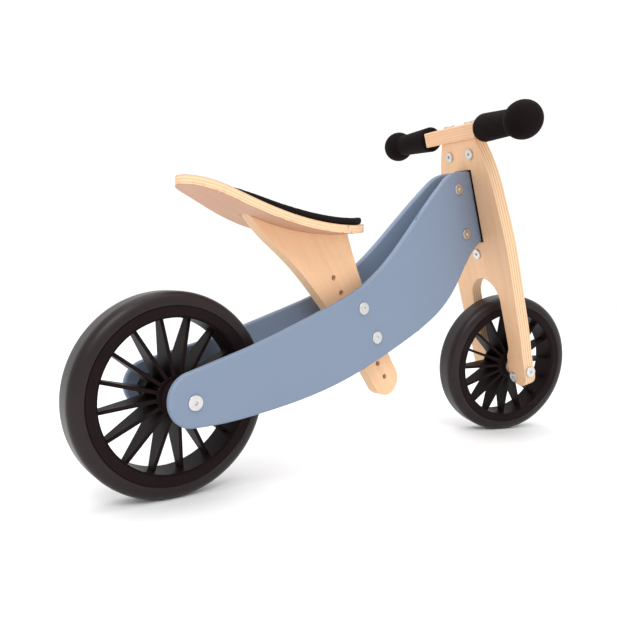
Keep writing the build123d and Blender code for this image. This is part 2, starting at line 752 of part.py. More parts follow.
def seat_board():
    """Bent plywood seat, rounded at both ends, with a groove for the post and screw holes."""
    plan = [
        (SEAT_TAIL, 0),
        (SEAT_TAIL + 13, SEAT_HALF * 0.49),
        (SEAT_TAIL + 51, SEAT_HALF * 0.82),
        (SEAT_TAIL + 121, SEAT_HALF),
        (SEAT_NOSE - 61, SEAT_HALF * 0.9),
        (SEAT_NOSE - 18, SEAT_HALF * 0.53),
        (SEAT_NOSE, 0),
    ]
    groove_rear = post_point(-118, -56.5)[0] - GROOVE_END
    groove_front = post_point(-40, 47)[0] + GROOVE_END
    with BuildPart() as part:
        seat_layer(0, SEAT_THICKNESS, plan)
        with BuildSketch(Plane.XZ):
            with BuildLine():
                floor = Spline(*raised_profile(POST_TENON))
                rear, front = floor @ 0, floor @ 1
                Polyline(rear, (rear.X, 0), (front.X, 0), front)
            make_face()
            with Locations(((groove_rear + groove_front) / 2, TOP_HOLE_Z)):
                Rectangle(groove_front - groove_rear, 4 * SEAT_HALF, mode=Mode.INTERSECT)
        extrude(amount=POST_THICKNESS / 2 + SLIP, both=True, mode=Mode.SUBTRACT)
        for index in SEAT_SCREWS:
            with BuildSketch(screw_plane(index, SEAT_THICKNESS)):
                Circle(SCREW_HEAD_RADIUS + SLIP)
            extrude(amount=-SCREW_HEAD_HEIGHT - SLIP, mode=Mode.SUBTRACT)
            with BuildSketch(screw_plane(index, SEAT_THICKNESS)):
                Circle(SCREW_RADIUS + RUNNING)
            extrude(amount=-2 * SEAT_THICKNESS, mode=Mode.SUBTRACT)
    save(part.part, "seat_board")


def seat_screws():
    """Three screws that hold the seat board to the post, hidden under the pad."""
    with BuildPart() as part:
        for index in SEAT_SCREWS:
            top = screw_plane(index, SEAT_THICKNESS - SLIP)
            with BuildSketch(top):
                Circle(SCREW_HEAD_RADIUS)
            extrude(amount=-SCREW_HEAD_HEIGHT)
            with BuildSketch(top):
                Circle(SCREW_RADIUS)
            extrude(amount=-(SEAT_THICKNESS - SLIP + SCREW_BITE - 1))
    save(part.part, "seat_screws")


def seat_pad():
    """Soft black pad that lies on the seat board behind its nose."""
    half = SEAT_HALF - PAD_SIDE_INSET
    nose = SEAT_NOSE - PAD_NOSE_INSET
    plan = [
        (PAD_TAIL, 0),
        (PAD_TAIL + 9, half * 0.48),
        (PAD_TAIL + 42, half * 0.86),
        (PAD_TAIL + 75, half),
        (nose - 58, half * 0.92),
        (nose - 22, half * 0.6),
        (nose, 0),
    ]
    low = SEAT_THICKNESS + CLOTH_GAP
    with BuildPart() as part:
        seat_layer(low, low + PAD_THICKNESS, plan)
    save(part.part, "seat_pad")


def seat_spacers():
    """Tubes that fill the room between the seat post and the side panels at each seat bolt."""
    start = POST_THICKNESS / 2
    with BuildPart() as part:
        for x, z in CLAMPS:
            for side in (1, -1):
                with BuildSketch(outward(x, side * start, z)):
                    Circle(SPACER_RADIUS)
                    Circle(SLEEVE_RADIUS + SLIP, mode=Mode.SUBTRACT)
                extrude(amount=inner_seat(x, SPACER_RADIUS) - start)
    save(part.part, "seat_spacers")


# Fork


def fork_nut_plane(left, up, front=False):
    """Plane on the fork's rear or front face, facing out of it, at a nut's centre."""
    facing = FORK_FORWARD if front else FORK_FORWARD * -1
    origin = FRONT_CENTRE + FORK_LEFT * left + AXIS_UP * up + facing * (FORK_THICKNESS / 2)
    return Plane(origin, x_dir=FORK_LEFT, z_dir=facing)


BAR_NUTS = [(side * BAR_BOLT_SIDE, FORK_TOP - BAR_NUT_DROP) for side in (1, -1)]
PIN_NUT = (0, WINDOW_LOW - PIN_NUT_DROP)
LEG_BOLTS = [(side * LEG_BOLT_SIDE, -LEG_BOLT_DROP) for side in (1, -1)]


def fork_board():
    """Flat plywood fork: a square window for the head block and a round arch for the wheel."""
    foot_radius = (FORK_FOOT_OUTER - FORK_FOOT_INNER) / 2
    foot_middle = (FORK_FOOT_OUTER + FORK_FOOT_INNER) / 2
    foot_level = foot_radius - FORK_FOOT_DROP
    arch_level = ARCH_TOP - LEG_INNER
    window_middle = (WINDOW_LOW + WINDOW_HIGH) / 2
    with BuildPart() as part:
        with BuildSketch(fork_face()) as outline:
            with BuildLine():
                Line((-FORK_TOP_HALF, FORK_TOP), (FORK_TOP_HALF, FORK_TOP))
                ThreePointArc((-LEG_INNER, arch_level), (0, ARCH_TOP), (LEG_INNER, arch_level))
                for side in (1, -1):
                    Spline(
                        (side * FORK_TOP_HALF, FORK_TOP),
                        (side * (FORK_TOP_HALF + 7), FORK_TOP - 16),
                        (side * FORK_SHOULDER_HALF, WINDOW_HIGH + 3),
                        (side * (FORK_WIDE_HALF - 4.6), WINDOW_LOW + 51),
                        (side * FORK_WIDE_HALF, WINDOW_LOW - 4),
                        (side * (FORK_WIDE_HALF - 1), ARCH_TOP - 14),
                        (side * (FORK_FOOT_OUTER + 2.4), 43),
                        (side * FORK_FOOT_OUTER, 8.5),
                        tangents=[(side * 0.35, -0.94), (0, -1)],
                    )
                    Line((side * FORK_FOOT_OUTER, 8.5), (side * FORK_FOOT_OUTER, foot_level))
                    ThreePointArc(
                        (side * FORK_FOOT_OUTER, foot_level),
                        (side * foot_middle, -FORK_FOOT_DROP),
                        (side * FORK_FOOT_INNER, foot_level),
                    )
                    Line((side * FORK_FOOT_INNER, foot_level), (side * FORK_FOOT_INNER, 12))
                    Bezier(
                        (side * FORK_FOOT_INNER, 12),
                        (side * FORK_FOOT_INNER, 24),
                        (side * LEG_INNER, 24),
                        (side * LEG_INNER, 36),
                    )
                    Line((side * LEG_INNER, 36), (side * LEG_INNER, arch_level))
            make_face()
            fillet(outline.vertices().sort_by(Axis.Y)[-2:], PANEL_CORNER)
        extrude(amount=FORK_THICKNESS / 2, both=True)
        fillet(part.faces().sort_by(SortBy.AREA)[-2:].edges(), FORK_EDGE_ROUND)
        with BuildSketch(fork_face()):
            with Locations((0, window_middle)):
                Rectangle(2 * WINDOW_HALF, WINDOW_HIGH - WINDOW_LOW)
        extrude(amount=FORK_THICKNESS, both=True, mode=Mode.SUBTRACT)
        with BuildSketch(fork_level(FORK_TOP)):
            Circle(PIN_HEAD_RADIUS + SLIP)
        extrude(amount=-PIN_HEAD_HEIGHT - SLIP, mode=Mode.SUBTRACT)
        with BuildSketch(fork_level(FORK_TOP)):
            Circle(PIN_RADIUS + SLIP)
        extrude(amount=WINDOW_LOW - PIN_RADIUS - SLIP - FORK_TOP, mode=Mode.SUBTRACT)
        with BuildSketch(fork_level(WINDOW_LOW)):
            Circle(BOLT_RADIUS + SLIP)
        extrude(amount=-PIN_NUT_DROP - CROSS_NUT_RADIUS - 1, mode=Mode.SUBTRACT)
        with BuildSketch(fork_level(FORK_TOP)):
            with Locations((0, BAR_BOLT_SIDE), (0, -BAR_BOLT_SIDE)):
                Circle(BOLT_RADIUS + SLIP)
        extrude(amount=-BAR_NUT_DROP - CROSS_NUT_RADIUS - 1, mode=Mode.SUBTRACT)
        for left, up in BAR_NUTS + [PIN_NUT]:
            with BuildSketch(fork_nut_plane(left, up)):
                Circle(CROSS_NUT_RADIUS + SLIP)
            extrude(amount=-CROSS_NUT_REACH - SLIP, mode=Mode.SUBTRACT)
        for left, up in LEG_BOLTS:
            with BuildSketch(fork_nut_plane(left, up)):
                Circle(BOLT_RADIUS + SLIP)
            extrude(amount=-FORK_THICKNESS, mode=Mode.SUBTRACT)
            with BuildSketch(fork_nut_plane(left, up, front=True)):
                Circle(SLEEVE_RADIUS + SLIP)
            extrude(amount=-LEG_NUT_LENGTH - SLIP, mode=Mode.SUBTRACT)
        with BuildSketch(FRONT_AXLE):
            Circle(BOLT_RADIUS + SLIP)
        extrude(amount=FORK_WIDE_HALF, both=True, mode=Mode.SUBTRACT)
    save(part.part, "fork_board")


def cross_nuts(name, places):
    """Barrel nuts pushed in from the fork's rear face, with a cross thread for a bolt."""
    with BuildPart() as part:
        for left, up in places:
            cap_head(fork_nut_plane(left, up), CROSS_NUT_RADIUS, CROSS_NUT_REACH)
            with BuildSketch(fork_level(up)):
                with Locations((0, left)):
                    Circle(BOLT_RADIUS + RUNNING)
            extrude(amount=2 * CROSS_NUT_RADIUS, both=True, mode=Mode.SUBTRACT)
    save(part.part, name)


def leg_bolts():
    """Short bolts through the feet of the fork, headed on its rear face."""
    with BuildPart() as part:
        for left, up in LEG_BOLTS:
            cap_head(fork_nut_plane(left, up), BOLT_RADIUS, FORK_THICKNESS - 2)
    save(part.part, "leg_bolts")


def leg_cap_nuts():
    """Nuts for the leg bolts, headed on the fork's front face."""
    with BuildPart() as part:
        for left, up in LEG_BOLTS:
            face = fork_nut_plane(left, up, front=True)
            cap_head(face, SLEEVE_RADIUS, LEG_NUT_LENGTH)
            with BuildSketch(face.offset(-LEG_NUT_LENGTH)):
                Circle(BOLT_RADIUS + RUNNING)
            extrude(amount=LEG_NUT_LENGTH, mode=Mode.SUBTRACT)
    save(part.part, "leg_cap_nuts")


def steering_pin():
    """Steel pin on the steering axis, headed under the handlebar and threaded at its foot."""
    step = WINDOW_LOW - PIN_RADIUS
    with BuildPart() as part:
        with BuildSketch(fork_level(FORK_TOP - SLIP)):
            Circle(PIN_HEAD_RADIUS)
        extrude(amount=SLIP - PIN_HEAD_HEIGHT)
        with BuildSketch(fork_level(FORK_TOP - SLIP)):
            Circle(PIN_RADIUS)
        extrude(amount=step - FORK_TOP + SLIP)
        with BuildSketch(fork_level(step)):
            Circle(BOLT_RADIUS)
        extrude(amount=WINDOW_LOW - PIN_NUT_DROP - CROSS_NUT_RADIUS - step)
    save(part.part, "steering_pin")


def steering_washers():
    """Thin plastic washers at the top and the bottom of the fork's window."""
    with BuildPart() as part:
        for up, thickness in ((WINDOW_LOW, STEER_WASHER_THICKNESS), (WINDOW_HIGH, -STEER_WASHER_THICKNESS)):
            with BuildSketch(fork_level(up)):
                Circle(STEER_WASHER_RADIUS)
                Circle(PIN_RADIUS + SLIP, mode=Mode.SUBTRACT)
            extrude(amount=thickness)
    save(part.part, "steering_washers")


# Handlebar


def grip_plane(side):
    """Plane where a grip meets the handlebar's shoulder, facing out along the grip."""
    sweep = radians(BAR_SWEEP)
    origin = FRONT_CENTRE + AXIS_UP * BAR_MIDDLE
    origin = origin + FORK_LEFT * (side * BAR_SHOULDER) - FORK_FORWARD * BAR_SHOULDER_BACK
    along = FORK_LEFT * (side * cos(sweep)) - FORK_FORWARD * sin(sweep)
    return Plane(origin, x_dir=AXIS_UP, z_dir=along)


def handlebar():
    """Plywood plank across the fork's top, flared and swept back to a round tenon each side."""
    sweep = radians(BAR_SWEEP)
    front_x = BAR_SHOULDER_DEPTH / 2 * cos(sweep) - BAR_SHOULDER_BACK
    rear_x = -BAR_SHOULDER_DEPTH / 2 * cos(sweep) - BAR_SHOULDER_BACK
    skew = BAR_SHOULDER_DEPTH / 2 * sin(sweep)
    half = BAR_DEPTH / 2
    with BuildPart() as part:
        with BuildSketch(fork_level(FORK_TOP)) as plan:
            with BuildLine():
                Line((half, BAR_STRAIGHT), (half, -BAR_STRAIGHT))
                Line((-half, BAR_STRAIGHT), (-half, -BAR_STRAIGHT))
                for side in (1, -1):
                    Polyline(
                        (half, side * BAR_STRAIGHT),
                        (front_x, side * (BAR_SHOULDER + skew)),
                        (rear_x, side * (BAR_SHOULDER - skew)),
                        (-half, side * BAR_STRAIGHT),
                    )
            make_face()
            bends = plan.vertices().filter_by(lambda vertex: abs(abs(vertex.Y) - BAR_STRAIGHT) < 0.01)
            fillet(bends, BAR_DEPTH)
        extrude(amount=BAR_THICKNESS)
        fillet(part.edges(), BAR_ROUND)
        for side in (1, -1):
            with BuildSketch(grip_plane(side).offset(-TENON_RADIUS)):
                Circle(TENON_RADIUS)
            extrude(amount=TENON_RADIUS + TENON_LENGTH)
        with BuildSketch(fork_level(FORK_TOP)):
            with Locations((0, BAR_BOLT_SIDE), (0, -BAR_BOLT_SIDE)):
                Circle(BOLT_RADIUS + SLIP)
        extrude(amount=BAR_THICKNESS, mode=Mode.SUBTRACT)
    save(part.part, "handlebar")


def grip(name, side):
    """Soft grip pushed over a tenon, round at its mouth, with a slight taper to its ball."""
    base = grip_plane(side)
    hole = TENON_RADIUS + SLIP
    mouth = GRIP_RADIUS - GRIP_MOUTH_ROUND
    ring = GRIP_MOUTH_ROUND * sin(radians(45))
    join = (GRIP_BALL_AT - sqrt(GRIP_BALL_RADIUS**2 - GRIP_NECK_RADIUS**2), GRIP_NECK_RADIUS)
    tip = GRIP_BALL_AT + GRIP_BALL_RADIUS
    with BuildPart() as part:
        with BuildSketch(Plane(base.origin, x_dir=base.z_dir, z_dir=base.z_dir.cross(base.x_dir))):
            with BuildLine():
                ThreePointArc(
                    (0, mouth),
                    (GRIP_MOUTH_ROUND - ring, mouth + ring),
                    (GRIP_MOUTH_ROUND, GRIP_RADIUS),
                )
                Line((GRIP_MOUTH_ROUND, GRIP_RADIUS), join)
                ThreePointArc(join, (GRIP_BALL_AT, GRIP_BALL_RADIUS), (tip, 0))
                Polyline((tip, 0), (TENON_LENGTH + SLIP, 0), (TENON_LENGTH + SLIP, hole), (0, hole))
                Line((0, hole), (0, mouth))
            make_face()
        revolve(axis=Axis(base.origin, base.z_dir))
    save(part.part, name)


def handlebar_bolts():
    """Two bolts from the handlebar's top down into the barrel nuts in the fork."""
    with BuildPart() as part:
        for left, up in BAR_NUTS:
            origin = FRONT_CENTRE + AXIS_UP * (FORK_TOP + BAR_THICKNESS) + FORK_LEFT * left
            length = FORK_TOP + BAR_THICKNESS - up + CROSS_NUT_RADIUS - 1
            cap_head(Plane(origin, x_dir=FORK_FORWARD, z_dir=AXIS_UP), BOLT_RADIUS, length)
    save(part.part, "handlebar_bolts")


def main():
    """Makes every sub-part and writes its STEP file."""
    os.makedirs("parts", exist_ok=True)
    rear_inner = inner_seat(0, REAR_SPACER_RADIUS)
    hub_side = HUB_END + AXIAL_PLAY
    side_panel("right_side_panel", -1, BOLT_RADIUS + SLIP)
    side_panel("left_side_panel", 1, SLEEVE_RADIUS + SLIP)
    head_block()
    through_bolts("head_bolts", HEAD_BOLTS, HEAD_NUT_REACH)
    cap_nuts("head_cap_nuts", HEAD_BOLTS, HEAD_NUT_REACH)
    through_bolts("seat_bolts", CLAMPS, SEAT_NUT_REACH)
    cap_nuts("seat_cap_nuts", CLAMPS, SEAT_NUT_REACH)
    seat_spacers()
    seat_post()
    seat_board()
    seat_screws()
    seat_pad()
    wheel("rear", REAR_AXLE)
    axle_sleeve("rear_axle", REAR_AXLE, rear_inner)
    axle_bolts("rear_axle_bolts", REAR_AXLE, head_seat(0), rear_inner)
    rear_spacers()
    rings(
        "rear_washers",
        REAR_AXLE,
        rear_inner - REAR_WASHER_THICKNESS,
        REAR_WASHER_THICKNESS,
        WASHER_RADIUS,
        AXLE_RADIUS + SLIP,
    )
    fork_board()
    cross_nuts("bar_cross_nuts", BAR_NUTS)
    cross_nuts("steering_cross_nut", [PIN_NUT])
    leg_bolts()
    leg_cap_nuts()
    steering_pin()
    steering_washers()
    handlebar()
    handlebar_bolts()
    grip("right_grip", -1)
    grip("left_grip", 1)
    wheel("front", FRONT_AXLE)
    axle_sleeve("front_axle", FRONT_AXLE, FORK_FOOT_INNER)
    axle_bolts("front_axle_bolts", FRONT_AXLE, FORK_FOOT_OUTER, FORK_FOOT_INNER)
    rings(
        "front_washers",
        FRONT_AXLE,
        hub_side,
        FORK_FOOT_INNER - hub_side,
        WASHER_RADIUS,
        AXLE_RADIUS + SLIP,
    )


if __name__ == "__main__":
    main()
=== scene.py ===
"""Wooden balance bike: finishes, rounded panels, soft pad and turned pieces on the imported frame."""

from __future__ import annotations

import json
import logging
import math
from bisect import bisect_left
from dataclasses import dataclass
from enum import Enum
from typing import Iterable

import bmesh
import bpy
from mathutils import Matrix, Vector

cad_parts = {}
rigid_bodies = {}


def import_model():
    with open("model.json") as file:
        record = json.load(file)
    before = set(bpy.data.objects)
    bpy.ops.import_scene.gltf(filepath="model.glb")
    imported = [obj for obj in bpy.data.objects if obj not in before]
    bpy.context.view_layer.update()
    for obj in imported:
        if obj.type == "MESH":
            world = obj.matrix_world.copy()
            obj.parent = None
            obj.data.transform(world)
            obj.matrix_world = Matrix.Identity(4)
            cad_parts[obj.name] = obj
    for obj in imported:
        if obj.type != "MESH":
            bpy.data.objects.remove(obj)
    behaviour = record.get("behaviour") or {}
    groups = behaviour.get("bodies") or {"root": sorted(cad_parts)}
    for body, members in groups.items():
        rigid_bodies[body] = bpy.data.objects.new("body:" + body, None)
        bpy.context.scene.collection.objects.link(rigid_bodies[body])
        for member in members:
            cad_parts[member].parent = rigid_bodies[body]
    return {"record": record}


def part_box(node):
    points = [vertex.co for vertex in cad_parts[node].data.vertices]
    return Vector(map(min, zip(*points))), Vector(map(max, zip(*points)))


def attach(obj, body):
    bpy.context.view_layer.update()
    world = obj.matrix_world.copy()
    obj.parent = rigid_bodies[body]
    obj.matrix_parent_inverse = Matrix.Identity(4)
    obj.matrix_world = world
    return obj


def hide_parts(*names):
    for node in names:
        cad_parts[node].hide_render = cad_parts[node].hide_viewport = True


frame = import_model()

log = logging.getLogger("balance_bike")

Colour = tuple[float, float, float]
MM = 0.001

# Half thickness of each board, and where its grain is measured from
FORK_HALF = 8 * MM
BAR_HALF = 10 * MM
POST_HALF = 7.5 * MM
SEAT_HALF = 4.5 * MM
BAR_ABOVE_AXLE = 337.5 * MM
POST_MIDDLE = Vector((0.196, 0, 0.2165))
POST_GRAIN = Vector((0.5764, 0, -0.8171))
SEAT_MIDDLE = Vector((0.12, 0, 0.27))

BOLT_HEAD_RADIUS = 7.25 * MM
AXLE_EXTRA = 4 * MM

FORWARD = Vector((1, 0, 0))
LEFT = Vector((0, 1, 0))
UPWARD = Vector((0, 0, 1))


class Slot(Enum):
    """The record's material slots."""

    PANEL = "blue_panel"
    PLY = "plywood"
    PLASTIC = "black_plastic"
    TYRE = "tyre"
    FOAM = "grip_foam"
    PAD = "pad_cover"
    STEEL = "steel"


class Level(Enum):
    """How strongly a surface's relief shows."""

    FAINT = 0.08
    SOFT = 0.2
    CLEAR = 0.45


# Shader arithmetic


class Sock:
    """A socket of a shader node that takes part in Python expressions."""

    def __init__(self, maker: "Maker", socket: bpy.types.NodeSocket) -> None:
        """Wraps one output socket."""
        self.maker = maker
        self.socket = socket

    def _math(self, operation: str, *values: "Sock | float", clamp: bool = False) -> "Sock":
        """Adds one Math node."""
        settings = {"operation": operation, "use_clamp": clamp}
        return self.maker.node("ShaderNodeMath", settings, dict(enumerate(values)))

    def __add__(self, other: "Sock | float") -> "Sock":
        """self + other."""
        return self._math("ADD", self, other)

    __radd__ = __add__

    def __sub__(self, other: "Sock | float") -> "Sock":
        """self - other."""
        return self._math("SUBTRACT", self, other)

    def __rsub__(self, other: float) -> "Sock":
        """other - self."""
        return self._math("SUBTRACT", other, self)

    def __mul__(self, other: "Sock | float") -> "Sock":
        """self * other."""
        return self._math("MULTIPLY", self, other)

    def __truediv__(self, other: "Sock | float") -> "Sock":
        """self / other."""
        return self._math("DIVIDE", self, other)

    def __abs__(self) -> "Sock":
        """Absolute value."""
        return self._math("ABSOLUTE", self)

    def sin(self) -> "Sock":
        """Sine of a value in radians."""
        return self._math("SINE", self)

    def fraction(self) -> "Sock":
        """Part after the decimal point."""
        return self._math("FRACT", self)

    def clamped(self) -> "Sock":
        """The value held between 0 and 1."""
        return self._math("ADD", self, 0.0, clamp=True)

    def step(self, edge: float, softness: float) -> "Sock":
        """Rises from 0 to 1 across softness, centred on edge."""
        return ((self - (edge - softness / 2)) / softness).clamped()


class Maker:
    """Builds one node material on a Principled shader."""

    def __init__(self, name: str) -> None:
        """Starts an empty material."""
        self.material = bpy.data.materials.new(name)
        self.material.use_nodes = True
        self.tree = self.material.node_tree
        self.tree.nodes.clear()
        self.shader = self.tree.nodes.new("ShaderNodeBsdfPrincipled")
        output = self.tree.nodes.new("ShaderNodeOutputMaterial")
        self.tree.links.new(self.shader.outputs[0], output.inputs[0])

    def node(self, kind: str, settings: dict, inputs: dict, out: int | str = 0) -> Sock:
        """Adds a node.

        Args:
            kind: The node's type.
            settings: Properties that are set before its sockets.
            inputs: Values or Socks for its input sockets, by index or name.
            out: The output socket to hand back.

        Returns:
            The chosen output.
        """
        made = self.tree.nodes.new(kind)
        for key, value in settings.items():
            setattr(made, key, value)
        for key, value in inputs.items():
            self._feed(made.inputs[key], value)
        return Sock(self, made.outputs[out])

    def _feed(self, socket: bpy.types.NodeSocket, value: "Sock | float | Iterable") -> None:
        """Links or sets one input socket."""
        if isinstance(value, Sock):
            self.tree.links.new(value.socket, socket)
        elif isinstance(value, (tuple, list, Vector)) and socket.type == "RGBA":
            socket.default_value = (*value, 1.0)
        else:
            socket.default_value = value

    def place(self) -> Sock:
        """Object coordinates."""
        return self.node("ShaderNodeTexCoord", {}, {}, "Object")

    def along(self, direction: Vector, origin: Vector = Vector()) -> Sock:
        """Distance of a point along a direction, measured from an origin."""
        inputs = {0: self.place(), 1: tuple(direction)}
        dot = self.node("ShaderNodeVectorMath", {"operation": "DOT_PRODUCT"}, inputs, 1)
        return dot - direction.dot(origin)

    def vector(self, x: Sock, y: Sock, z: Sock) -> Sock:
        """A vector from three values."""
        return self.node("ShaderNodeCombineXYZ", {}, {0: x, 1: y, 2: z})

    def noise(self, at: Sock, scale: float = 1.0, detail: float = 2.0, rough: float = 0.5) -> Sock:
        """Noise between about 0 and 1."""
        inputs = {"Vector": at, "Scale": scale, "Detail": detail, "Roughness": rough}
        return self.node("ShaderNodeTexNoise", {}, inputs)

    def mix(self, factor: "Sock | float", first: "Sock | Colour", second: "Sock | Colour") -> Sock:
        """Blends two colours."""
        return self.node("ShaderNodeMix", {"data_type": "RGBA"}, {0: factor, 6: first, 7: second}, 2)

    def bump(self, height: Sock, level: Level, distance: float) -> None:
        """Feeds a relief to the shader's normal."""
        inputs = {"Height": height, "Strength": level.value, "Distance": distance}
        self.set(Normal=self.node("ShaderNodeBump", {}, inputs))

    def set(self, **values: "Sock | float | Colour") -> None:
        """Sets or links the shader's sockets, with _ for a space in their names."""
        for key, value in values.items():
            self._feed(self.shader.inputs[key.replace("_", " ")], value)


# Finishes


@dataclass(frozen=True)
class Plywood:
    """Clear-lacquered birch plywood: streaked faces, and light and dark plies along its edges."""

    origin: Vector
    through: Vector
    grain: Vector
    half: float
    plies: int = 9
    contrast: float = 0.5
    light: Colour = (0.91, 0.60, 0.365)
    dark: Colour = (0.73, 0.42, 0.235)
    edge_light: Colour = (0.87, 0.61, 0.385)
    edge_dark: Colour = (0.53, 0.29, 0.148)
    layered: str = ""

    def make(self, name: str) -> bpy.types.Material:
        """Builds the material."""
        m = Maker(name)
        depth = self._depth(m)
        along = m.along(self.grain, self.origin)
        across = m.along(self.grain.cross(self.through), self.origin)
        streak = m.noise(m.vector(along * 9.0, across * 170.0, depth * 60.0), 1.0, 4.0, 0.6)
        cloud = m.noise(m.vector(along * 7.0, across * 26.0, depth * 5.0), 1.0, 2.0)
        pores = m.noise(m.vector(along * 90.0, across * 1500.0, depth * 300.0), 1.0, 1.0).step(0.70, 0.06)
        tone = (streak * 0.75 + cloud * 0.65 - 0.2).clamped()
        face = m.mix(tone, self.light, self.dark)
        face = m.mix(pores * 0.3, face, self.edge_dark)
        wander = m.noise(m.vector(along * 14.0, across * 14.0, depth * 20.0), 1.0, 2.0)
        layer = (depth / (2 * self.half) + 0.5) * float(self.plies) + wander * 0.3
        odd = (layer * 0.5).fraction().step(0.5, 0.16)
        fibres = m.noise(m.vector(along * 30.0, across * 30.0, layer * 2.4), 1.0, 4.0, 0.65)
        knots = m.noise(m.vector(along * 70.0, across * 70.0, layer * 1.1), 1.0, 1.0).step(0.74, 0.05)
        wash = (odd * self.contrast + fibres * 0.5 - 0.12).clamped()
        edge = m.mix(wash, self.edge_light, self.edge_dark)
        edge = m.mix(knots * 0.3, edge, self.edge_dark)
        rim = (self.half - abs(depth)).step(0.35 * MM, 0.25 * MM)
        m.set(Base_Color=m.mix(rim, face, edge), Roughness=0.42 + streak * 0.14 + rim * 0.12)
        m.shader.inputs["Specular IOR Level"].default_value = 0.3
        m.bump(streak * 0.7 + pores * -0.5 + rim * odd * 0.4, Level.SOFT, 0.1 * MM)
        return m.material

    def _depth(self, m: Maker) -> Sock:
        """Distance from the board's middle, or the same from an attribute of a bent board."""
        if not self.layered:
            return m.along(self.through, self.origin)
        share = m.node("ShaderNodeAttribute", {"attribute_name": self.layered}, {}, "Fac")
        return (share - 0.5) * (2 * self.half)


@dataclass(frozen=True)
class PanelPaint:
    """Satin blue paint, rolled on plywood, with the grain just showing through."""

    colour: Colour = (0.190, 0.244, 0.338)
    shade: Colour = (0.172, 0.224, 0.314)

    def make(self, name: str) -> bpy.types.Material:
        """Builds the material."""
        m = Maker(name)
        along = m.along(Vector((0.88, 0, 0.47)))
        across = m.along(Vector((-0.47, 0, 0.88)))
        side = m.along(LEFT)
        grain = m.noise(m.vector(along * 8.0, across * 140.0, side * 60.0), 1.0, 4.0, 0.6)
        peel = m.noise(m.place(), 900.0, 2.0)
        cloud = m.noise(m.place(), 9.0, 2.0)
        m.set(Base_Color=m.mix((grain * 0.5 + cloud * 0.5).clamped(), self.colour, self.shade))
        m.set(Roughness=0.46 + peel * 0.08)
        m.shader.inputs["Specular IOR Level"].default_value = 0.4
        m.bump(peel * 0.5 + grain * 0.5, Level.FAINT, 0.15 * MM)
        return m.material


@dataclass(frozen=True)
class Speckled:
    """A dark moulded, foamed or rubber surface with a fine even relief."""

    colour: Colour
    shade: Colour
    rough: float
    grain: float
    relief: Level = Level.SOFT
    depth: float = 0.15 * MM
    gloss: float = 0.5

    def make(self, name: str) -> bpy.types.Material:
        """Builds the material."""
        m = Maker(name)
        fine = m.noise(m.place(), self.grain, 3.0, 0.6)
        dust = m.noise(m.place(), 30.0, 3.0)
        m.set(Base_Color=m.mix((dust * 1.4 - 0.2).clamped(), self.colour, self.shade))
        m.set(Roughness=self.rough + fine * 0.12 - dust * 0.06)
        m.shader.inputs["Specular IOR Level"].default_value = self.gloss
        m.bump(fine, self.relief, self.depth)
        return m.material


@dataclass(frozen=True)
class ZincSteel:
    """Bright zinc-plated steel with fine turning marks."""

    colour: Colour = (0.70, 0.69, 0.68)
    shade: Colour = (0.52, 0.51, 0.50)

    def make(self, name: str) -> bpy.types.Material:
        """Builds the material."""
        m = Maker(name)
        cloud = m.noise(m.place(), 160.0, 3.0)
        marks = m.noise(m.place(), 1800.0, 2.0)
        m.set(Metallic=1.0, Base_Color=m.mix(cloud, self.colour, self.shade))
        m.set(Roughness=0.26 + cloud * 0.12)
        m.bump(marks, Level.FAINT, 0.05 * MM)
        return m.material


@dataclass(frozen=True)
class PadCloth:
    """Close black woven cover of the pad."""

    thread: float = 0.9 * MM
    colour: Colour = (0.0045, 0.003, 0.003)
    shade: Colour = (0.012, 0.009, 0.009)

    def make(self, name: str) -> bpy.types.Material:
        """Builds the material."""
        m = Maker(name)
        turn = 2 * math.pi / self.thread
        warp = (m.along(FORWARD) * turn).sin()
        weft = (m.along(LEFT) * turn).sin()
        weave = (warp * weft) * 0.5 + 0.5
        lint = m.noise(m.place(), 420.0, 3.0)
        m.set(Base_Color=m.mix((weave * 0.5 + lint * 0.4).clamped(), self.colour, self.shade))
        m.set(Roughness=0.78 + lint * 0.14)
        m.shader.inputs["Specular IOR Level"].default_value = 0.12
        m.bump(weave + lint * 0.4, Level.SOFT, 0.15 * MM)
        return m.material


@dataclass(frozen=True)
class FloorPaint:
    """Pale studio floor."""

    colour: Colour = (0.97, 0.97, 0.972)

    def make(self, name: str) -> bpy.types.Material:
        """Builds the material."""
        m = Maker(name)
        m.set(Base_Color=self.colour, Roughness=0.6)
        return m.material


# Shared mesh work


def new_piece(
    name: str, mesh: bmesh.types.BMesh, finish: bpy.types.Material, angle: float = 35.0
) -> bpy.types.Object:
    """Turns a bmesh into a smooth-shaded object at the origin.

    Args:
        name: The object's name.
        mesh: The bmesh, which is freed.
        finish: Its material.
        angle: Edges sharper than this many degrees stay crisp.

    Returns:
        The new object.
    """
    data = bpy.data.meshes.new(name)
    mesh.to_mesh(data)
    mesh.free()
    data.shade_smooth()
    data.set_sharp_from_angle(angle=math.radians(angle))
    data.materials.append(finish)
    piece = bpy.data.objects.new(name, data)
    bpy.context.scene.collection.objects.link(piece)
    return piece


def merged_copy(node: str) -> bmesh.types.BMesh:
    """A bmesh of a CAD node with its loose triangles merged and its flat faces joined up."""
    mesh = bmesh.new()
    mesh.from_mesh(bpy.data.objects[node].data)
    bmesh.ops.remove_doubles(mesh, verts=mesh.verts, dist=0.005 * MM)
    bmesh.ops.dissolve_limit(mesh, angle_limit=math.radians(0.08), verts=mesh.verts, edges=mesh.edges)
    return mesh


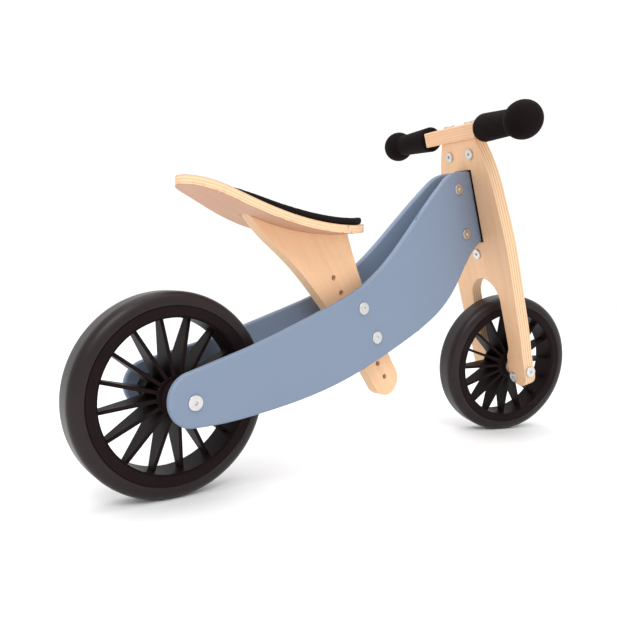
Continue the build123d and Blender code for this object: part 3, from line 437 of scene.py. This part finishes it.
def spun(profile: list[tuple[float, float]], steps: int, place: Matrix, closed: bool) -> bmesh.types.BMesh:
    """Spins a profile of (radius, height) round the Z axis and moves it to its place.

    Args:
        profile: Points of the outline.
        steps: Segments in a full turn.
        place: Matrix from the spinning frame to the object.
        closed: Whether the last point joins the first.

    Returns:
        The finished bmesh, with its normals outward.
    """
    mesh = bmesh.new()
    ring = [mesh.verts.new((radius, 0.0, height)) for radius, height in profile]
    pairs = list(zip(ring, ring[1:])) + ([(ring[-1], ring[0])] if closed else [])
    edges = [mesh.edges.new(pair) for pair in pairs]
    bmesh.ops.spin(
        mesh, geom=ring + edges, cent=(0, 0, 0), axis=(0, 0, 1), dvec=(0, 0, 0),
        angle=2 * math.pi, steps=steps, use_merge=True, use_duplicate=False,
    )
    bmesh.ops.remove_doubles(mesh, verts=mesh.verts, dist=0.001 * MM)
    bmesh.ops.recalc_face_normals(mesh, faces=mesh.faces)
    bmesh.ops.transform(mesh, matrix=place, verts=mesh.verts)
    return mesh


def flatten(piece: bpy.types.Object) -> None:
    """Weights the shading by face area, so that broad faces stay flat beside their rounded edges."""
    weighted = piece.modifiers.new("flat faces", "WEIGHTED_NORMAL")
    weighted.weight = 100
    weighted.keep_sharp = True


def axis_place(origin: Vector, axis: Vector) -> Matrix:
    """Matrix that takes the Z axis to an axis through origin."""
    return Matrix.Translation(origin) @ axis.to_track_quat("Z", "Y").to_matrix().to_4x4()


# The steering frame, read from the record


class ForkFrame:
    """Directions of the turned fork."""

    def __init__(self, record: dict) -> None:
        """Reads the steering axis and the front axle."""
        joints = {joint["name"]: joint for joint in record["behaviour"]["joints"]}
        self.up = Vector(joints["steering"]["axis"]).normalized()
        self.left = Vector(joints["front_wheel_spin"]["axis"]).normalized()
        self.forward = self.left.cross(self.up)
        self.wheel = Vector(joints["front_wheel_spin"]["pos_m"])
        self.rear_wheel = Vector(joints["rear_wheel_spin"]["pos_m"])


# Sub-assemblies


@dataclass(frozen=True)
class BoltHole:
    """Where a bolt passes through the panels, and how much more room than usual it needs."""

    x: float
    z: float
    extra: float = 0.0


@dataclass
class SidePanels:
    """The two painted panels, with their outline edges rounded over."""

    rounding: float = 3.0 * MM
    segments: int = 4
    clear: float = 11.0 * MM
    sharp: float = 50.0
    gather: float = 0.3 * MM
    close: float = 0.04 * MM

    def build(self, paint: bpy.types.Material, holes: list[BoltHole]) -> None:
        """Makes both panels from the frame's own and hides those.

        Args:
            paint: The panel paint.
            holes: Bolt holes, round which the edges stay sharp.
        """
        for side in ("right", "left"):
            node = f"{side}_side_panel"
            mesh = merged_copy(node)
            bmesh.ops.remove_doubles(mesh, verts=mesh.verts, dist=self.gather)
            chosen = [edge for edge in mesh.edges if self._outline(edge, holes)]
            bmesh.ops.bevel(
                mesh, geom=chosen, offset=self.rounding, offset_type="OFFSET", segments=self.segments,
                profile=0.5, affect="EDGES", clamp_overlap=False, material=-1,
            )
            bmesh.ops.remove_doubles(mesh, verts=mesh.verts, dist=self.close)
            bmesh.ops.triangulate(mesh, faces=[face for face in mesh.faces if len(face.verts) > 4])
            piece = new_piece(f"{side}_panel_painted", mesh, paint, 30.0)
            flatten(piece)
            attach(piece, "frame")
            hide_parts(node)
            log.info("%s: %d triangles", piece.name, len(piece.data.polygons))

    def _outline(self, edge: bmesh.types.BMEdge, holes: list[BoltHole]) -> bool:
        """True for a sharp edge away from every bolt hole."""
        if len(edge.link_faces) != 2 or edge.calc_face_angle(0.0) < math.radians(self.sharp):
            return False
        middle = (edge.verts[0].co + edge.verts[1].co) / 2
        return all(
            math.hypot(middle.x - hole.x, middle.z - hole.z) > self.clear + hole.extra for hole in holes
        )


@dataclass
class Tyre:
    """One solid tyre, turned from its section."""

    radius: float = 100 * MM
    inner: float = 85.6 * MM
    half: float = 18.8 * MM
    crown: float = 9 * MM
    shoulder: float = 12 * MM
    lip: float = 1.1 * MM
    flat: float = 0.4 * MM
    arc_steps: int = 8
    steps: int = 144

    def build(
        self, name: str, node: str, body: str, centre: Vector, axis: Vector, rubber: bpy.types.Material
    ) -> None:
        """Makes the tyre and hides the frame's own."""
        arc = []
        for index in range(self.arc_steps + 1):
            turn = math.pi / 2 * index / self.arc_steps
            arc.append(
                (
                    self.radius - self.shoulder + self.shoulder * math.sin(turn),
                    self.crown + (self.half - self.crown) * math.cos(turn),
                )
            )
        lip = [(self.inner, self.half - self.lip), (self.inner + self.lip, self.half)]
        wall = [(self.radius - self.shoulder - self.flat, self.half)]
        side = lip + wall + arc + [(self.radius, self.crown / 2)]
        profile = side + [(radius, -height) for radius, height in reversed(side)]
        piece = new_piece(name, spun(profile, self.steps, axis_place(centre, axis), True), rubber, 40.0)
        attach(piece, body)
        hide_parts(node)
        log.info("%s: %d faces", name, len(piece.data.polygons))


@dataclass
class SeatBoard:
    """The bent seat board, which knows how deep in its layers every edge point lies."""

    layer_name: str = "ply_depth"
    slice: float = 4.0 * MM

    def build(self, ply: bpy.types.Material) -> None:
        """Makes the board with its depth attribute: 1 on the upper face, 0 on the lower."""
        mesh = merged_copy("seat_board")
        low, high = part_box("seat_board")
        for index in range(1, int((high[0] - low[0]) / self.slice)):
            cut = (low[0] + index * self.slice, 0, 0)
            parts = list(mesh.verts) + list(mesh.edges) + list(mesh.faces)
            bmesh.ops.bisect_plane(mesh, geom=parts, dist=0.01 * MM, plane_co=cut, plane_no=(1, 0, 0))
        mesh.normal_update()
        upper = self._curve(mesh, 1)
        lower = self._curve(mesh, -1)
        depth = mesh.verts.layers.float.new(self.layer_name)
        for vert in mesh.verts:
            top = self._height(upper, vert.co.x)
            low_face = self._height(lower, vert.co.x)
            vert[depth] = min(1.0, max(0.0, (vert.co.z - low_face) / (top - low_face)))
        bmesh.ops.triangulate(mesh, faces=[face for face in mesh.faces if len(face.verts) > 4])
        piece = new_piece("seat_board_bent", mesh, ply, 30.0)
        flatten(piece)
        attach(piece, "frame")
        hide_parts("seat_board")
        log.info("seat_board_bent: %d faces", len(piece.data.polygons))

    def _curve(self, mesh: bmesh.types.BMesh, side: int) -> list[tuple[float, float]]:
        """Points (x, z) of the upper (1) or lower (-1) face from back to front."""
        faces = [face for face in mesh.faces if face.normal.z * side > 0.8]
        return sorted({(round(vert.co.x, 5), round(vert.co.z, 6)) for face in faces for vert in face.verts})

    def _height(self, curve: list[tuple[float, float]], x: float) -> float:
        """Height of a curve at x, straight between its points."""
        after = min(max(bisect_left(curve, (x, -1.0)), 1), len(curve) - 1)
        (x0, z0), (x1, z1) = curve[after - 1], curve[after]
        return z0 if x1 - x0 < 0.01 * MM else z0 + (z1 - z0) * (x - x0) / (x1 - x0)


@dataclass
class SeatPad:
    """The soft pad, with its top edge rolled over all round."""

    voxel: float = 1.5 * MM
    passes: int = 14
    limit: float = 2.2 * MM

    def build(self, cloth: bpy.types.Material) -> None:
        """Remeshes the pad's solid evenly and softens its edges."""
        source = bpy.data.objects["seat_pad"]
        draft = bpy.data.objects.new("pad_draft", source.data.copy())
        bpy.context.scene.collection.objects.link(draft)
        remesh = draft.modifiers.new("even", "REMESH")
        remesh.mode = "VOXEL"
        remesh.voxel_size = self.voxel
        graph = bpy.context.evaluated_depsgraph_get()
        even = bpy.data.meshes.new_from_object(draft.evaluated_get(graph))
        bpy.data.objects.remove(draft)
        mesh = bmesh.new()
        mesh.from_mesh(even)
        start = {vert: vert.co.copy() for vert in mesh.verts}
        for _ in range(self.passes):
            bmesh.ops.smooth_vert(
                mesh, verts=mesh.verts, factor=0.5, use_axis_x=True, use_axis_y=True, use_axis_z=True
            )
        for vert, was in start.items():
            move = vert.co - was
            if move.length > self.limit:
                vert.co = was + move.normalized() * self.limit
        cover = new_piece("seat_pad_cover", mesh, cloth, 180.0)
        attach(cover, "frame")
        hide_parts("seat_pad")
        log.info("seat_pad_cover: %d faces", len(cover.data.polygons))


class Dresser:
    """Gives the frame's own nodes their finishes."""

    def __init__(self, fork: ForkFrame) -> None:
        """Makes every finish once."""
        up, left, forward = fork.up, fork.left, fork.forward
        bar = fork.wheel + up * BAR_ABOVE_AXLE
        self.fork_ply = Plywood(fork.wheel, forward, up, FORK_HALF).make("fork plywood")
        self.bar_ply = Plywood(
            bar, up, left, BAR_HALF, 11, 0.2, edge_light=(0.84, 0.53, 0.325)
        ).make("handlebar plywood")
        self.post_ply = Plywood(POST_MIDDLE, LEFT, POST_GRAIN, POST_HALF).make("seat post plywood")
        # The seat's face colours are a darker copy of the same birch plywood: painted shade standing in for
        # its underside, which faces down away from the lights.
        self.seat_ply_painted_shade = Plywood(
            SEAT_MIDDLE, UPWARD, FORWARD, SEAT_HALF, 6, 0.35,
            light=(0.60, 0.345, 0.222), dark=(0.49, 0.257, 0.155), layered="ply_depth",
        ).make("seat plywood with painted shade")
        self.paint = PanelPaint().make("panel paint")
        self.plastic = Speckled(
            (0.0095, 0.005, 0.0054), (0.0145, 0.0085, 0.009), 0.4, 1400.0, Level.FAINT, gloss=0.05
        ).make("moulded plastic")
        self.rubber = Speckled(
            (0.0095, 0.0042, 0.0049), (0.0155, 0.0085, 0.0093), 0.33, 900.0, Level.FAINT, gloss=0.27
        ).make("tyre rubber")
        self.foam = Speckled(
            (0.004, 0.0018, 0.0018), (0.0075, 0.004, 0.004), 0.8, 1100.0, Level.CLEAR, 0.2 * MM, 0.1
        ).make("grip foam")
        self.steel = ZincSteel().make("zinc steel")
        self.cloth = PadCloth().make("pad cloth")

    def dress(self, record: dict) -> None:
        """Puts a finish on every node of the frame, by its slot or its own name."""
        by_slot = {
            Slot.PANEL: self.paint,
            Slot.PLASTIC: self.plastic,
            Slot.TYRE: self.rubber,
            Slot.FOAM: self.foam,
            Slot.PAD: self.cloth,
            Slot.STEEL: self.steel,
        }
        own = {
            "fork_board": self.fork_ply,
            "handlebar": self.bar_ply,
            "seat_post": self.post_ply,
            "seat_board": self.seat_ply_painted_shade,
        }
        for part in record["subparts"]:
            finish = own.get(part["node"]) or by_slot[Slot(part["material_slot"])]
            for slot in bpy.data.objects[part["node"]].material_slots:
                slot.material = finish
            log.info("%s: %s", part["node"], finish.name)


@dataclass
class Studio:
    """Pale floor, soft lights and the camera."""

    eye: Vector = Vector((-0.24516, -0.55106, 0.20796))
    right: Vector = Vector((0.80163727, -0.5974283, 0.02138017))
    up: Vector = Vector((0.00592882, 0.04370756, 0.99902678))
    back: Vector = Vector((-0.59778134, -0.80073034, 0.03857965))
    lens: float = 35.58
    sensor: float = 36.0
    target: Vector = Vector((0.26, 0.0, 0.18))
    surround: float = 1.03
    floor_radius: float = 12.0

    def build(self) -> None:
        """Makes the floor, the lights and the camera."""
        self._floor()
        self._world()
        self._softbox("key", Vector((-0.9, -1.5, 2.0)), size=1.1, power=24.0)
        self._softbox("top", Vector((0.3, 0.2, 2.4)), size=2.2, power=22.0)
        self._camera()

    def _floor(self) -> None:
        """A broad round floor."""
        mesh = bmesh.new()
        bmesh.ops.create_circle(mesh, cap_ends=True, radius=self.floor_radius, segments=64)
        floor = new_piece("studio_floor", mesh, FloorPaint().make("floor paint"))

    def _world(self) -> None:
        """Even white surroundings."""
        world = bpy.data.worlds.new("studio")
        bpy.context.scene.world = world
        world.use_nodes = True
        background = world.node_tree.nodes["Background"]
        background.inputs["Color"].default_value = (1.0, 1.0, 1.0, 1.0)
        background.inputs["Strength"].default_value = self.surround

    def _softbox(self, name: str, place: Vector, size: float, power: float) -> None:
        """A square area light that faces the bike."""
        data = bpy.data.lights.new(name, "AREA")
        data.size = size
        data.energy = power
        light = bpy.data.objects.new(name, data)
        light.location = place
        light.rotation_euler = (self.target - place).to_track_quat("-Z", "Y").to_euler()
        bpy.context.scene.collection.objects.link(light)

    def _camera(self) -> None:
        """The camera, low behind the bike on its right."""
        data = bpy.data.cameras.new("camera")
        data.lens = self.lens
        data.sensor_width = self.sensor
        data.clip_start = 0.01
        camera = bpy.data.objects.new("camera", data)
        turn = Matrix((self.right, self.up, self.back)).transposed().to_4x4()
        camera.matrix_world = Matrix.Translation(self.eye) @ turn
        bpy.context.scene.collection.objects.link(camera)
        bpy.context.scene.camera = camera


def panel_holes(fork: ForkFrame) -> list[BoltHole]:
    """The panels' holes: the rear axle's, and two each for the seat and head bolts."""
    holes = [BoltHole(fork.rear_wheel.x, fork.rear_wheel.z, AXLE_EXTRA)]
    for name in ("seat_bolts", "head_bolts"):
        low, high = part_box(name)
        holes.append(BoltHole(low[0] + BOLT_HEAD_RADIUS, high[2] - BOLT_HEAD_RADIUS))
        holes.append(BoltHole(high[0] - BOLT_HEAD_RADIUS, low[2] + BOLT_HEAD_RADIUS))
    return holes


def main() -> None:
    """Builds the whole scene and reports each piece."""
    logging.basicConfig(level=logging.INFO, format="%(name)s %(message)s")
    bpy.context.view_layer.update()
    fork = ForkFrame(frame["record"])
    dresser = Dresser(fork)
    dresser.dress(frame["record"])
    SidePanels().build(dresser.paint, panel_holes(fork))
    Tyre().build("rear_tyre_turned", "rear_tyre", "rear_wheel", fork.rear_wheel, LEFT, dresser.rubber)
    Tyre().build("front_tyre_turned", "front_tyre", "front_wheel", fork.wheel, fork.left, dresser.rubber)
    SeatBoard().build(dresser.seat_ply_painted_shade)
    SeatPad().build(dresser.cloth)
    Studio().build()
    bpy.context.scene.view_settings.view_transform = "Standard"


if __name__ == "__main__":
    main()
